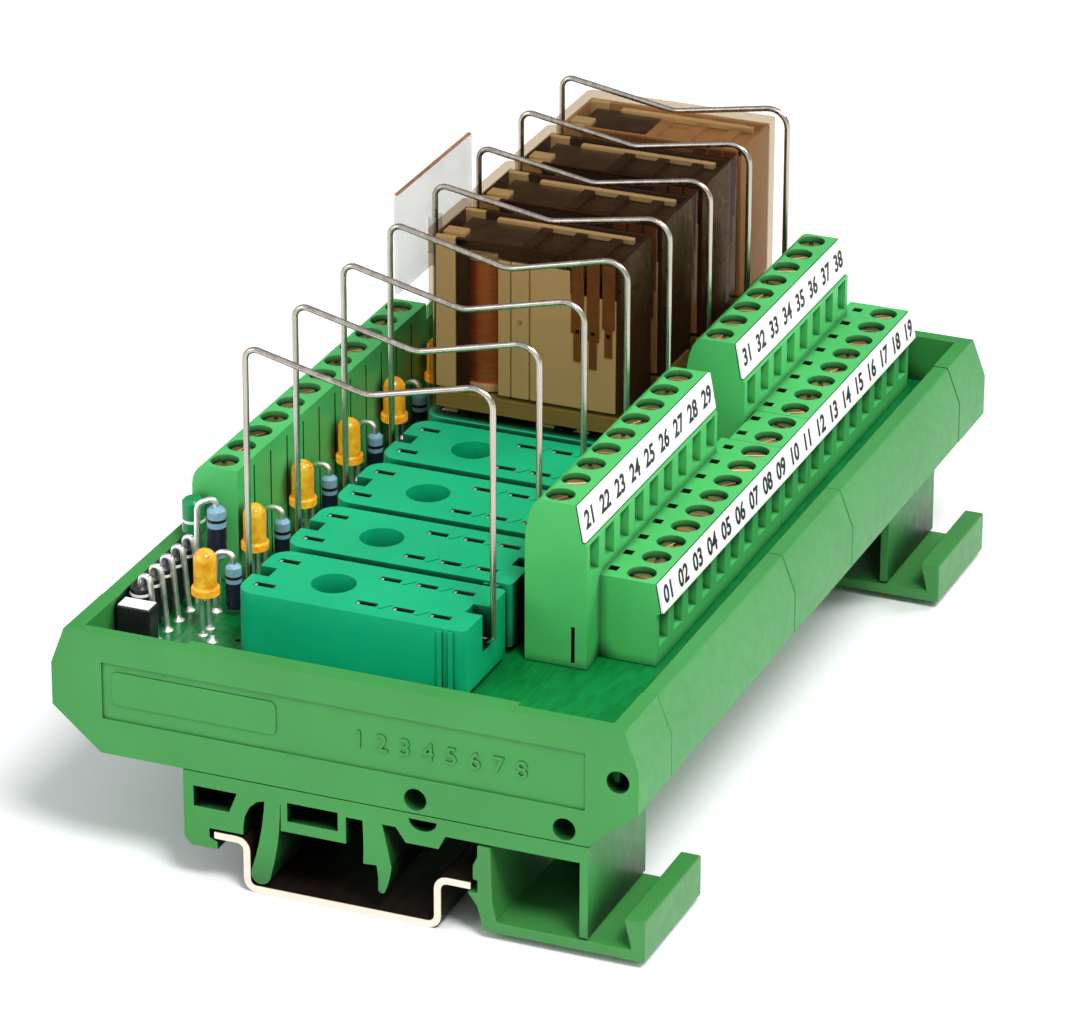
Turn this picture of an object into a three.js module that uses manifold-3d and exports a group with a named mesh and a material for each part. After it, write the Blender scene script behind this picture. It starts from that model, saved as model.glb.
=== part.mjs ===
// Industrial relay module for a 35 mm mounting rail: an open tray with a circuit board, eight plug-in relay
// places with wire retaining clips, four relays, screw terminals, status lights and two clip-on rail feet.
//
// Millimetres. +Z up, +Y along the rail from the front end to the rear end, +X towards the release levers.
// The origin is the centre of the rail's underside.

import * as THREE from "three";
import { mergeVertices } from "three/addons/utils/BufferGeometryUtils.js";
import Module from "manifold-3d";

const wasm = await Module();
wasm.setup();

// ---------------------------------------------------------------------------------------------------------
// Driving dimensions
// ---------------------------------------------------------------------------------------------------------

// Mounting rail: top-hat section, 35 mm wide and 7.5 mm high.
const RAIL_WIDTH = 35;
const RAIL_CROWN = 27;
const RAIL_HEIGHT = 7.5;
const RAIL_SHEET = 1;
const RAIL_BEND = 0.8;

// Tray. Heights in the tray section are above its underside, which is FLOOR above the rail's underside.
const LENGTH = 132;
const FRONT = -LENGTH / 2;
const REAR = LENGTH / 2;
const FLOOR = 15.6;
const HALF_WIDTH = 39.6;
const HALF_BASE = 33;
const CHAMFER_HEIGHT = 5.6;
const FOLD_HEIGHT = 11.4;
const RIM_HEIGHT = 16.5;
const RIM_LEAN = 1.9;
const RIM_THICK = 2.1;
const END_WALL = 2;
const FLOOR_THICK = 2;
const WALL_FOOT_HEIGHT = 6;
const WALL_THICK = 5.2;
const SIDE_ELEMENT = 11;
const END_BASE_ELEMENT = 44;
const SEAM = 0.06;
const PANEL_HALF_WIDTH = 32.6;
const PANEL_LOW = 4.9;
const PANEL_HIGH = 12.7;
const PANEL_DEPTH = 0.3;
const RIB_FROM = -21.5;
const RIB_TO = 23;
const RIB_THICK = 0.9;
const SCREW_HOLE_RADIUS = 1.5;
const SCREW_HOLE_DEPTH = 6;
const SCREW_HOLES = [
  [36.9, 9.6],
  [29.9, 1.8],
  [10.1, 1.9],
];

// Circuit board, held in grooves of the tray walls.
const BOARD_BOTTOM = FLOOR + 8.4;
const BOARD_TOP = FLOOR + 10;
const BOARD_HALF_WIDTH = 36.3;
const GROOVE_HALF_WIDTH = 36.6;
const SEAT_GAP = 0.12;

// Rail feet.
const FOOT_LENGTH = 19.4;
const REAR_FOOT_SETBACK = 1.4;
const FOOT_POCKET = 12;
const FOOT_LEFT = -21.6;
const FOOT_RIGHT = 33.1;
const FOOT_PLATE = 2.4;
const FOOT_POST = 1.1;
const FOOT_POST_BOTTOM = 2.9;
const FLANGE_PLAY = 0.4;
const FLANGE_GRIP = 0.5;
const LIP_THICK = 1;
const LATCH_BOTTOM = 1;
const LATCH_SHEET = 1.5;
const LATCH_RIGHT = 40.6;
const TAB_HEIGHT = 5.6;
const TAB_THICK = 2.8;

// Relay places along the board.
const RELAY_PLACES = 8;
const FIRST_RELAY = 5;
const PLACE_PITCH = 14.9;
const FIRST_PLACE = FRONT + 18.2;
const SOCKET_CENTRE = -3.75;
const SOCKET_LENGTH = 31.5;
const SOCKET_WIDTH = 13.4;
const SOCKET_TOP = FLOOR + 20;
const SOCKET_STANDOFF = 1.2;
const COIL_PIN_X = -16.6;
const CONTACT_PIN_X = [-2.6, 2.4, 7.4];
const PIN_ROW = 3.75;
const PIN_THICK = 0.5;
const PIN_WIDTH = 1.8;
const SLOT_WIDTH = 1;
const SLOT_LENGTH = 2.8;
const SLOT_DEPTH = 6;
const SOCKET_HOLE_X = -8.8;
const SOCKET_HOLE_RADIUS = 2.9;
const CLIP_NOTCH_DEPTH = 2.3;
const CLIP_NOTCH_WIDTH = 2.6;

// Plug-in relay.
const RELAY_LENGTH = 28.1;
const RELAY_WIDTH = 12.7;
const RELAY_CENTRE = -5;
const RELAY_BOTTOM = FLOOR + 21.1;
const RELAY_TOP = FLOOR + 46.6;
const COVER_WALL = 0.7;
const PLATE_THICK = 2.3;
const INSIDE_BOTTOM = RELAY_BOTTOM + PLATE_THICK + 0.3;
const COIL_X = -12.6;
const COIL_RADIUS = 4.1;
const COIL_FLANGE = 4.6;
const YOKE_X = -7.6;

// Retaining clip of spring wire. It turns about its two inturned ends.
const WIRE_RADIUS = 0.4;
const CLIP_HALF_WIDTH = 16.7;
const CLIP_CENTRE = -3.8;
const CLIP_PIVOT = FLOOR + 16;
const CLIP_CORNER = FLOOR + 50.6;
const CLIP_DIP = FLOOR + 46.6;
const CLIP_DIP_ON_RELAY = FLOOR + 47.7;
const CLIP_END = 1.7;
const CLIP_BEND = 1.6;

// Terminal blocks.
const POLE = 5.08;
const SCREW_RECESS = 1.9;
const SCREW_SINK = 1.2;
const TOWER_SCREW_X = 17.6;
const TIER_SCREW_X = 26.9;
const ENTRY_WIDTH = 3;
const ENTRY_HEIGHT = 4.4;
const ENTRY_DEPTH = 3.6;
const TEST_HOLE_X = 23.1;
const TEST_HOLE = 1.3;
const TIER_OFFSET = 4.3;
const LOWER_START = FRONT + 30.5;
const FRONT_POLES = 9;
const MIDDLE_POLES = 2;
const REAR_POLES = 8;
const TOWER_LEFT = 13.8;
const TOWER_RIGHT = 22.2;
const TIER_RIGHT = 29.9;
const TOWER_TOP = FLOOR + 32.5;
const TIER_TOP = FLOOR + 21.5;
const LABEL_THICK = 0.4;
const LEFT_BLOCK_POLES = 12;
const LEFT_BLOCK_START = FRONT + 32.6;
const LEFT_BLOCK_LEFT = -35.3;
const LEFT_BLOCK_RIGHT = -28.8;
const LEFT_BLOCK_TOP = FLOOR + 26;

// Status lights.
const LIGHT_X = -26.7;
const LIGHT_FLANGE = FLOOR + 15.3;
const LIGHT_TOP = FLOOR + 21.6;
const LEAD_OFFSET = 1.02;
const LIGHT_RADIUS = 1.5;

// ---------------------------------------------------------------------------------------------------------
// Geometry helpers
// ---------------------------------------------------------------------------------------------------------

// A closed geometry as a manifold solid with its faces pointing out.
function solid(geometry) {
  const bare = geometry.clone();
  bare.deleteAttribute("normal");
  bare.deleteAttribute("uv");
  const merged = mergeVertices(bare, 1e-4);
  const vertProperties = new Float32Array(merged.attributes.position.array);
  const triVerts = new Uint32Array(merged.index.array);
  const made = new wasm.Manifold(new wasm.Mesh({ numProp: 3, vertProperties, triVerts }));
  if (made.volume() > 0) return made;
  for (let i = 0; i < triVerts.length; i += 3) {
    [triVerts[i + 1], triVerts[i + 2]] = [triVerts[i + 2], triVerts[i + 1]];
  }
  return new wasm.Manifold(new wasm.Mesh({ numProp: 3, vertProperties, triVerts }));
}

function geometryOf(made) {
  const mesh = made.getMesh();
  const geometry = new THREE.BufferGeometry();
  geometry.setAttribute("position", new THREE.BufferAttribute(new Float32Array(mesh.vertProperties), 3));
  geometry.setIndex(new THREE.BufferAttribute(new Uint32Array(mesh.triVerts), 1));
  geometry.computeVertexNormals();
  return geometry;
}

function joined(first, ...others) {
  return others.reduce((sum, next) => sum.add(next), first);
}

function cut(body, ...tools) {
  return tools.reduce((left, tool) => left.subtract(tool), body);
}

// A box between two corners.
function box(x0, x1, y0, y1, z0, z1) {
  const geometry = new THREE.BoxGeometry(x1 - x0, y1 - y0, z1 - z0);
  geometry.translate((x0 + x1) / 2, (y0 + y1) / 2, (z0 + z1) / 2);
  return solid(geometry);
}

function shapeOf(points) {
  return new THREE.Shape(points.map(([a, b]) => new THREE.Vector2(a, b)));
}

// An outline in X and Z, extruded along Y from y0 to y1.
function prismAlongY(points, y0, y1) {
  const geometry = new THREE.ExtrudeGeometry(shapeOf(points), { depth: y1 - y0, bevelEnabled: false });
  geometry.rotateX(Math.PI / 2);
  geometry.translate(0, y1, 0);
  return solid(geometry);
}

// An outline in X and Y, extruded from z0 to z1.
function prismAlongZ(points, z0, z1) {
  const geometry = new THREE.ExtrudeGeometry(shapeOf(points), { depth: z1 - z0, bevelEnabled: false });
  geometry.translate(0, 0, z0);
  return solid(geometry);
}

// Points of an arc of an ellipse, with its angles in degrees.
function arc(centreX, centreY, radiusX, radiusY, from, to, steps) {
  return Array.from({ length: steps + 1 }, (_, i) => {
    const angle = THREE.MathUtils.degToRad(from + ((to - from) * i) / steps);
    return [centreX + radiusX * Math.cos(angle), centreY + radiusY * Math.sin(angle)];
  });
}

// A rectangle whose two left corners and two right corners are rounded.
function roundedRectangle(x0, x1, y0, y1, left, right, steps = 4) {
  return [
    ...arc(x1 - right, y1 - right, right, right, 0, 90, steps),
    ...arc(x0 + left, y1 - left, left, left, 90, 180, steps),
    ...arc(x0 + left, y0 + left, left, left, 180, 270, steps),
    ...arc(x1 - right, y0 + right, right, right, 270, 360, steps),
  ];
}

// The outline of a bent finger, whose half width goes evenly from its root to its tip.
function finger(start, control, end, rootHalf, tipHalf, steps = 5) {
  const [a, b, c] = [start, control, end].map(([x, z]) => new THREE.Vector2(x, z));
  const curve = new THREE.QuadraticBezierCurve(a, b, c);
  const left = [];
  const right = [];
  for (let i = 0; i <= steps; i += 1) {
    const at = curve.getPoint(i / steps);
    const along = curve.getTangent(i / steps);
    const half = rootHalf + ((tipHalf - rootHalf) * i) / steps;
    left.push([at.x - along.y * half, at.y + along.x * half]);
    right.unshift([at.x + along.y * half, at.y - along.x * half]);
  }
  return [...left, ...right];
}

// A profile of radius and height, turned about an upright axis at x.
function turned(profile, x, sides) {
  const geometry = new THREE.LatheGeometry(profile.map(([r, z]) => new THREE.Vector2(r, z)), sides);
  geometry.rotateX(Math.PI / 2);
  geometry.translate(x, 0, 0);
  return solid(geometry);
}

function cylinder(radius, height, sides) {
  return new THREE.CylinderGeometry(radius, radius, height, sides);
}

// A round post or bore standing on z0.
function upright(radius, x, y, z0, z1, sides = 16) {
  const geometry = cylinder(radius, z1 - z0, sides);
  geometry.rotateX(Math.PI / 2);
  geometry.translate(x, y, (z0 + z1) / 2);
  return solid(geometry);
}

// A round post or bore along Y.
function lengthwise(radius, x, z, y0, y1, sides = 16) {
  const geometry = cylinder(radius, y1 - y0, sides);
  geometry.translate(x, (y0 + y1) / 2, z);
  return solid(geometry);
}

// A route through a list of points, one extrusion step between each two.
class WireRoute extends THREE.Curve {
  constructor(points) {
    super();
    this.points = points;
  }
  getPoint(t, target = new THREE.Vector3()) {
    const last = this.points.length - 1;
    const at = Math.min(Math.floor(t * last + 1e-6), last - 1);
    return target.lerpVectors(this.points[at], this.points[at + 1], t * last - at);
  }
  getPointAt(u, target) {
    return this.getPoint(u, target);
  }
  getTangentAt(u, target = new THREE.Vector3()) {
    const last = this.points.length - 1;
    const at = Math.round(u * last);
    const before = this.points[Math.max(at - 1, 0)];
    const after = this.points[Math.min(at + 1, last)];
    return target.subVectors(after, before).normalize();
  }
}

// Corner points with each inner corner rounded by an arc-like curve that starts `bend` before it.
function roundedRoute(corners, bend, steps = 3) {
  const route = [corners[0]];
  for (let i = 1; i < corners.length - 1; i += 1) {
    const start = corners[i].clone().add(corners[i - 1].clone().sub(corners[i]).setLength(bend));
    const end = corners[i].clone().add(corners[i + 1].clone().sub(corners[i]).setLength(bend));
    const curve = new THREE.QuadraticBezierCurve3(start, corners[i], end);
    route.push(...curve.getPoints(steps));
  }
  route.push(corners[corners.length - 1]);
  return new WireRoute(route);
}

function circleShape(radius, sides) {
  const points = [];
  for (let i = 0; i < sides; i += 1) {
    const angle = (2 * Math.PI * i) / sides;
    points.push([radius * Math.cos(angle), radius * Math.sin(angle)]);
  }
  return shapeOf(points);
}

function wire(route, radius, sides = 6) {
  const steps = route.points.length - 1;
  const geometry = new THREE.ExtrudeGeometry(circleShape(radius, sides), { steps, extrudePath: route });
  return solid(geometry);
}

// ---------------------------------------------------------------------------------------------------------
// Finishes
// ---------------------------------------------------------------------------------------------------------

function finish(color, roughness, metalness = 0, opacity = 1) {
  return new THREE.MeshStandardMaterial({ color, roughness, metalness, opacity, transparent: opacity < 1 });
}

const housingGreen = () => finish(0x54aa5c, 0.45);
const socketGreen = () => finish(0x00996b, 0.4);
const boardGreen = () => finish(0x008a3c, 0.3);
const railSteel = () => finish(0xc9c7c1, 0.35, 0.9);
const springSteel = () => finish(0xb9b2a6, 0.3, 1);
const smokedClear = () => finish(0x8a7a5c, 0.15, 0, 0.45);
const clearSheet = () => finish(0xe6efe8, 0.1, 0, 0.3);
const relayBase = () => finish(0x2c2a28, 0.5);
const copper = () => finish(0xb5562b, 0.35, 0.8);
const contactBrass = () => finish(0xa8823c, 0.35, 0.8);
const labelWhite = () => finish(0xf4f4f2, 0.6);
const lensYellow = () => finish(0xe0b010, 0.2);

const relayModule = new THREE.Group();

function place(name, made, material, x = 0, y = 0, z = 0) {
  const mesh = new THREE.Mesh(geometryOf(made), material);
  mesh.name = name;
  mesh.position.set(x, y, z);
  relayModule.add(mesh);
}

// ---------------------------------------------------------------------------------------------------------
// Tray: two side elements, three base elements and the board
// ---------------------------------------------------------------------------------------------------------

// The tray's outer outline, closed across the top.
function trayOutline() {
  const rim = HALF_WIDTH - RIM_LEAN;
  return [
    [-HALF_BASE, FLOOR],
    [HALF_BASE, FLOOR],
    [HALF_WIDTH, FLOOR + CHAMFER_HEIGHT],
    [HALF_WIDTH, FLOOR + FOLD_HEIGHT],
    [rim, FLOOR + RIM_HEIGHT],
    [-rim, FLOOR + RIM_HEIGHT],
    [-HALF_WIDTH, FLOOR + FOLD_HEIGHT],
    [-HALF_WIDTH, FLOOR + CHAMFER_HEIGHT],
  ];
}

// The hollow between the walls, with the board grooves.
function trayHollow() {
  const rim = HALF_WIDTH - RIM_LEAN - RIM_THICK;
  const wall = HALF_WIDTH - WALL_THICK;
  const floorEdge = HALF_BASE - 1.2;
  const right = [
    [floorEdge, FLOOR + FLOOR_THICK],
    [wall, FLOOR + WALL_FOOT_HEIGHT],
    [wall, BOARD_BOTTOM - SEAT_GAP],
    [GROOVE_HALF_WIDTH, BOARD_BOTTOM - SEAT_GAP],
    [GROOVE_HALF_WIDTH, BOARD_TOP + SEAT_GAP],
    [rim, BOARD_TOP + SEAT_GAP],
    [rim, FLOOR + RIM_HEIGHT + 1],
  ];
  const left = right.map(([x, z]) => [-x, z]).reverse();
  return [...right, ...left];
}

function trayLength(y0, y1) {
  const outer = prismAlongY(trayOutline(), y0, y1);
  return cut(outer, prismAlongY(trayHollow(), y0 - 1, y1 + 1));
}

// An end of the tray, as the front one: a closed wall with a sunk marking panel and three screw holes, and a
// short tray length. The front wall is stiffened by a rib behind its rim.
function sideElement(ribbed) {
  const open = trayLength(FRONT, FRONT + SIDE_ELEMENT - SEAM);
  const wall = prismAlongY(trayOutline(), FRONT, FRONT + END_WALL);
  const closed = ribbed ? joined(open, wall, wallRib()) : joined(open, wall);
  const panel = box(
    -PANEL_HALF_WIDTH,
    PANEL_HALF_WIDTH,
    FRONT - 1,
    FRONT + PANEL_DEPTH,
    FLOOR + PANEL_LOW,
    FLOOR + PANEL_HIGH,
  );
  const holes = SCREW_HOLES.map(([x, z]) =>
    lengthwise(SCREW_HOLE_RADIUS, x, FLOOR + z, FRONT - 1, FRONT + SCREW_HOLE_DEPTH, 20),
  );
  return cut(closed, panel, ...holes);
}

// The rib behind the front rim. It ends above the board.
function wallRib() {
  const inner = FRONT + END_WALL;
  return box(RIB_FROM, RIB_TO, inner - 0.5, inner + RIB_THICK, BOARD_TOP + 1, FLOOR + RIM_HEIGHT);
}

function addTray() {
  place("side_element_front", sideElement(true), housingGreen());
  const rear = new THREE.Mesh(geometryOf(sideElement(false)), housingGreen());
  rear.name = "side_element_rear";
  rear.rotation.z = Math.PI;
  relayModule.add(rear);

  const firstSeam = FRONT + SIDE_ELEMENT;
  const secondSeam = firstSeam + END_BASE_ELEMENT;
  place("base_element_front", trayLength(firstSeam, secondSeam - SEAM), housingGreen());
  place("base_element_middle", trayLength(secondSeam, -secondSeam - SEAM), housingGreen());
  place("base_element_rear", trayLength(-secondSeam, -firstSeam), housingGreen());

  const boardEnd = REAR - END_WALL - SEAT_GAP;
  const board = box(-BOARD_HALF_WIDTH, BOARD_HALF_WIDTH, -boardEnd, boardEnd, BOARD_BOTTOM, BOARD_TOP);
  place("circuit_board", board, boardGreen());
}

// ---------------------------------------------------------------------------------------------------------
// Mounting rail and rail feet
// ---------------------------------------------------------------------------------------------------------

const FLANGE_EDGE = RAIL_WIDTH / 2;
const FLANGE_UNDERSIDE = RAIL_HEIGHT - RAIL_SHEET;

// The rail's right half, from its foot round the flange and back along the inside, then its mirror image.
function addRail() {
  const crown = RAIL_CROWN / 2;
  const outerBend = RAIL_BEND + RAIL_SHEET;
  const footBend = crown - outerBend;
  const flangeBend = crown + RAIL_BEND;
  const flangeBendZ = FLANGE_UNDERSIDE - RAIL_BEND;
  const half = [
    ...arc(footBend, outerBend, outerBend, outerBend, -90, 0, 4),
    ...arc(flangeBend, flangeBendZ, RAIL_BEND, RAIL_BEND, 180, 90, 3),
    [FLANGE_EDGE, FLANGE_UNDERSIDE],
    [FLANGE_EDGE, RAIL_HEIGHT],
    ...arc(flangeBend, flangeBendZ, outerBend, outerBend, 90, 180, 4),
    ...arc(footBend, outerBend, RAIL_BEND, RAIL_BEND, 0, -90, 3),
  ];
  const outline = [...half, ...half.map(([x, z]) => [-x, z]).reverse()];
  place("mounting_rail", prismAlongY(outline, FRONT, REAR), railSteel());
}

const FLANGE_SEAT = RAIL_HEIGHT + FLANGE_PLAY;
const LIP_TOP = FLANGE_UNDERSIDE - FLANGE_PLAY;
const PLATE_TOP = FLOOR - 0.1;
const PLATE_BOTTOM = FLOOR - FOOT_PLATE;

// The block with the fixed hook: it sits on the left rail flange and reaches under it.
function hookBlock(y0, y1) {
  const hookInner = -(FLANGE_EDGE + 0.6);
  const lipEnd = -(FLANGE_EDGE - FLANGE_GRIP);
  const blockRight = -13.4;
  const blockSide = FLANGE_SEAT + 0.9;
  const hollowX = blockRight + 3.1;
  const outline = [
    [FOOT_LEFT, PLATE_TOP],
    [FOOT_LEFT, LIP_TOP],
    [FOOT_LEFT + 1, LIP_TOP - LIP_THICK],
    [lipEnd, LIP_TOP - LIP_THICK],
    [lipEnd, LIP_TOP],
    [hookInner, LIP_TOP + 0.5],
    [hookInner, FLANGE_SEAT],
    [blockRight, FLANGE_SEAT],
    ...arc(hollowX, blockSide, hollowX - blockRight, PLATE_BOTTOM - blockSide, 180, 90, 4),
    [hollowX, PLATE_TOP],
  ];
  return prismAlongY(outline, y0, y1);
}

// The two spring arms that press into the rail, each with a rounded toe.
function springArms(y0, y1) {
  const leftToe = [-11.1, FLOOR - 12.9];
  const leftArm = finger([-9.3, PLATE_BOTTOM + 1], [-9.4, FLOOR - 7.5], leftToe, 1.05, 1.35);
  const rightUpper = finger([4.1, PLATE_BOTTOM + 1], [4.7, FLOOR - 5], [4.9, FLOOR - 8.3], 1.2, 1.9);
  const rightToe = [5.5, FLOOR - 11.6];
  const rightLower = finger([5.8, FLOOR - 8], [5.9, FLOOR - 10], rightToe, 1.05, 0.5);
  return joined(
    prismAlongY(leftArm, y0, y1),
    lengthwise(1.35, ...leftToe, y0, y1),
    prismAlongY(rightUpper, y0, y1),
    prismAlongY(rightLower, y0, y1),
    lengthwise(0.5, ...rightToe, y0, y1, 12),
  );
}

// The windows in the front of the foot, as deep as its pocket, and the half-round one under the screw hole.
function footWindows(y0) {
  const windowTop = PLATE_BOTTOM + 0.3;
  const hookWindow = [
    [-20.2, windowTop],
    [-14.2, windowTop],
    [-15.3, windowTop - 2.8],
    [-20.2, windowTop - 2.8],
  ];
  const blockWindow = [
    [-7.3, windowTop + 0.1],
    [-0.4, windowTop + 0.1],
    [-0.4, windowTop - 2.5],
    [-7.3, windowTop - 2.5],
  ];
  const halfRound = arc(11.1, FLOOR - 0.8, 1.9, 1.5, 180, 360, 8);
  const windows = [hookWindow, blockWindow, halfRound];
  return windows.map((outline) => prismAlongY(outline, y0 - 1, y0 + FOOT_POCKET));
}

// The fixed part of a foot. Its right end is a hollow between the plate, a post and a web at the back.
function railFoot(y0) {
  const y1 = y0 + FOOT_LENGTH;
  const boss = [
    [7.1, PLATE_BOTTOM + 0.5],
    [8.8, PLATE_BOTTOM - 1.9],
    [13.2, PLATE_BOTTOM - 1.9],
    [14.4, PLATE_BOTTOM + 0.5],
  ];
  const postLeft = FOOT_RIGHT - FOOT_POST;
  const body = joined(
    box(FOOT_LEFT, FOOT_RIGHT, y0, y1, PLATE_BOTTOM, PLATE_TOP),
    hookBlock(y0, y1),
    springArms(y0, y1),
    box(-8.2, 0.7, y0, y1, FLOOR - 6.1, PLATE_TOP),
    prismAlongY(boss, y0, y1),
    box(postLeft, FOOT_RIGHT, y0, y1, FOOT_POST_BOTTOM, PLATE_TOP),
    box(23.2, postLeft + 0.5, y1 - 1.5, y1, FOOT_POST_BOTTOM, PLATE_TOP),
  );
  return cut(body, ...footWindows(y0));
}

// The moving part of a foot: a strut that catches the right rail flange, a bottom plate and a finger tab.
function footLatch(y0) {
  const y1 = y0 + FOOT_LENGTH;
  const strutTop = PLATE_BOTTOM - 0.4;
  const catchInner = FLANGE_EDGE + 0.8;
  const shoulder = FLANGE_EDGE + 0.2;
  const lipEnd = FLANGE_EDGE - FLANGE_GRIP - 0.1;
  const strut = [
    [catchInner, strutTop],
    [catchInner, FLANGE_SEAT + 3.2],
    [shoulder, FLANGE_SEAT + 2],
    [shoulder, FLANGE_SEAT],
    [catchInner, FLANGE_SEAT],
    [catchInner, LIP_TOP],
    [lipEnd, LIP_TOP],
    [catchInner, LIP_TOP - 1.8],
    [catchInner + 0.9, LATCH_BOTTOM],
    [catchInner + 3, LATCH_BOTTOM],
    [catchInner + 2.1, LIP_TOP - 1],
    [catchInner + 1.8, strutTop],
  ];
  const tab = [
    [LATCH_RIGHT - TAB_THICK, LATCH_BOTTOM + TAB_HEIGHT],
    [LATCH_RIGHT, LATCH_BOTTOM + TAB_HEIGHT],
    [LATCH_RIGHT, LATCH_BOTTOM],
    [LATCH_RIGHT - 1.7, LATCH_BOTTOM + 1],
  ];
  return joined(
    prismAlongY(strut, y0, y1),
    box(catchInner + 1.1, LATCH_RIGHT, y0, y1, LATCH_BOTTOM, LATCH_BOTTOM + LATCH_SHEET),
    prismAlongY(tab, y0, y1),
  );
}

function addFeet() {
  const rearFoot = REAR - FOOT_LENGTH - REAR_FOOT_SETBACK;
  for (const [end, y0] of [["front", FRONT], ["rear", rearFoot]]) {
    place("rail_foot_" + end, railFoot(y0), housingGreen());
    place("foot_latch_" + end, footLatch(y0), housingGreen());
  }
}

// ---------------------------------------------------------------------------------------------------------
// Relay sockets, relays and clips
// ---------------------------------------------------------------------------------------------------------

function placeY(number) {
  return FIRST_PLACE + (number - 1) * PLACE_PITCH;
}

// Centres of the eight contact pins, in X and Y about the place's centre.
function pinPlaces() {
  return [COIL_PIN_X, ...CONTACT_PIN_X].flatMap((x) => [-PIN_ROW, PIN_ROW].map((y) => [x, y]));
}

// A socket about its place's centre: rounded at its left end, standing on four short feet, with pin slots, a
// round hole in the top and an open notch at each end for the clip.
function relaySocket() {
  const left = SOCKET_CENTRE - SOCKET_LENGTH / 2;
  const right = SOCKET_CENTRE + SOCKET_LENGTH / 2;
  const half = SOCKET_WIDTH / 2;
  const under = BOARD_TOP + SOCKET_STANDOFF;
  const body = prismAlongZ(roundedRectangle(left, right, -half, half, 2.4, 0.8), under, SOCKET_TOP);
  const feet = [left + 2.6, right - 4.5].flatMap((x) =>
    [-half + 0.6, half - 2.6].map((y) => box(x, x + 3, y, y + 2, BOARD_TOP + SEAT_GAP, under + 0.5)),
  );
  const [slotX, slotY] = [SLOT_LENGTH / 2, SLOT_WIDTH / 2];
  const slots = pinPlaces().map(([x, y]) =>
    box(x - slotX, x + slotX, y - slotY, y + slotY, SOCKET_TOP - SLOT_DEPTH, SOCKET_TOP + 1),
  );
  const notchY = CLIP_NOTCH_WIDTH / 2;
  const notches = [
    [left - 1, left + CLIP_NOTCH_DEPTH],
    [right - CLIP_NOTCH_DEPTH, right + 1],
  ].map(([x0, x1]) => box(x0, x1, -notchY, notchY, CLIP_PIVOT - 1.2, SOCKET_TOP + 1));
  const hole = upright(SOCKET_HOLE_RADIUS, SOCKET_HOLE_X, 0, SOCKET_TOP - 6.5, SOCKET_TOP + 1, 28);
  return cut(joined(body, ...feet), ...slots, ...notches, hole);
}

// A base plate with eight pins. It closes the relay's cover from below.
function relayPlate() {
  const inset = COVER_WALL + 0.15;
  const halfLength = RELAY_LENGTH / 2 - inset;
  const halfWidth = RELAY_WIDTH / 2 - inset;
  const x0 = RELAY_CENTRE - halfLength;
  const x1 = RELAY_CENTRE + halfLength;
  const plate = box(x0, x1, -halfWidth, halfWidth, RELAY_BOTTOM, RELAY_BOTTOM + PLATE_THICK);
  const [pinX, pinY] = [PIN_WIDTH / 2, PIN_THICK / 2];
  const pins = pinPlaces().map(([x, y]) =>
    box(x - pinX, x + pinX, y - pinY, y + pinY, SOCKET_TOP - 3.6, RELAY_BOTTOM + 1),
  );
  return joined(plate, ...pins);
}

// The clear cover: a box open at the bottom, with rounded upright edges.
function relayCover() {
  const bottom = RELAY_BOTTOM + 0.2;
  const shell = (inset, radius, z0, z1) => {
    const halfLength = RELAY_LENGTH / 2 - inset;
    const halfWidth = RELAY_WIDTH / 2 - inset;
    const [x0, x1] = [RELAY_CENTRE - halfLength, RELAY_CENTRE + halfLength];
    return prismAlongZ(roundedRectangle(x0, x1, -halfWidth, halfWidth, radius, radius, 3), z0, z1);
  };
  return cut(shell(0, 0.8, bottom, RELAY_TOP), shell(COVER_WALL, 0.2, bottom - 1, RELAY_TOP - 0.9));
}

// The coil stands on the base plate: a bobbin with two flanges, wound full.
function relayCoil() {
  const z0 = INSIDE_BOTTOM;
  const z1 = RELAY_TOP - 3.2;
  const profile = [
    [0, z0],
    [COIL_FLANGE, z0],
    [COIL_FLANGE, z0 + 1],
    [COIL_RADIUS, z0 + 1],
    [COIL_RADIUS, z1 - 1],
    [COIL_FLANGE, z1 - 1],
    [COIL_FLANGE, z1],
    [0, z1],
  ];
  return turned(profile, COIL_X, 24);
}

// Yoke, armature and contact springs, joined by their carrier.
function relayContacts() {
  const yokeTop = RELAY_TOP - 2.4;
  const armatureTop = RELAY_TOP - 1.9;
  const carrierRight = 7.6;
  const springTop = RELAY_TOP - 6;
  const yoke = box(YOKE_X, YOKE_X + 1.2, -4.4, 4.4, INSIDE_BOTTOM, yokeTop);
  const armature = box(YOKE_X - 7.9, YOKE_X + 1.1, -3.6, 3.6, armatureTop - 1, armatureTop);
  const carrier = box(YOKE_X + 0.6, carrierRight, -4.6, 4.6, INSIDE_BOTTOM, INSIDE_BOTTOM + 3.4);
  const springs = [-2.2, 1.4, 5].map((x) => box(x, x + 0.6, -4.2, 4.2, INSIDE_BOTTOM + 3, springTop));
  const crossbar = box(YOKE_X + 1, carrierRight - 0.2, -4.8, 4.8, springTop - 1.2, springTop + 0.6);
  return joined(yoke, armature, carrier, crossbar, ...springs);
}

// A clip about its place's centre: inturned ends, two legs and a crosspiece that dips in the middle.
function retainingClip(dip) {
  const left = CLIP_CENTRE - CLIP_HALF_WIDTH;
  const right = CLIP_CENTRE + CLIP_HALF_WIDTH;
  const corners = [
    [left + CLIP_END, CLIP_PIVOT],
    [left, CLIP_PIVOT],
    [left, CLIP_CORNER],
    [CLIP_CENTRE, dip],
    [right, CLIP_CORNER],
    [right, CLIP_PIVOT],
    [right - CLIP_END, CLIP_PIVOT],
  ].map(([x, z]) => new THREE.Vector3(x, 0, z));
  return wire(roundedRoute(corners, CLIP_BEND), WIRE_RADIUS);
}

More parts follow.
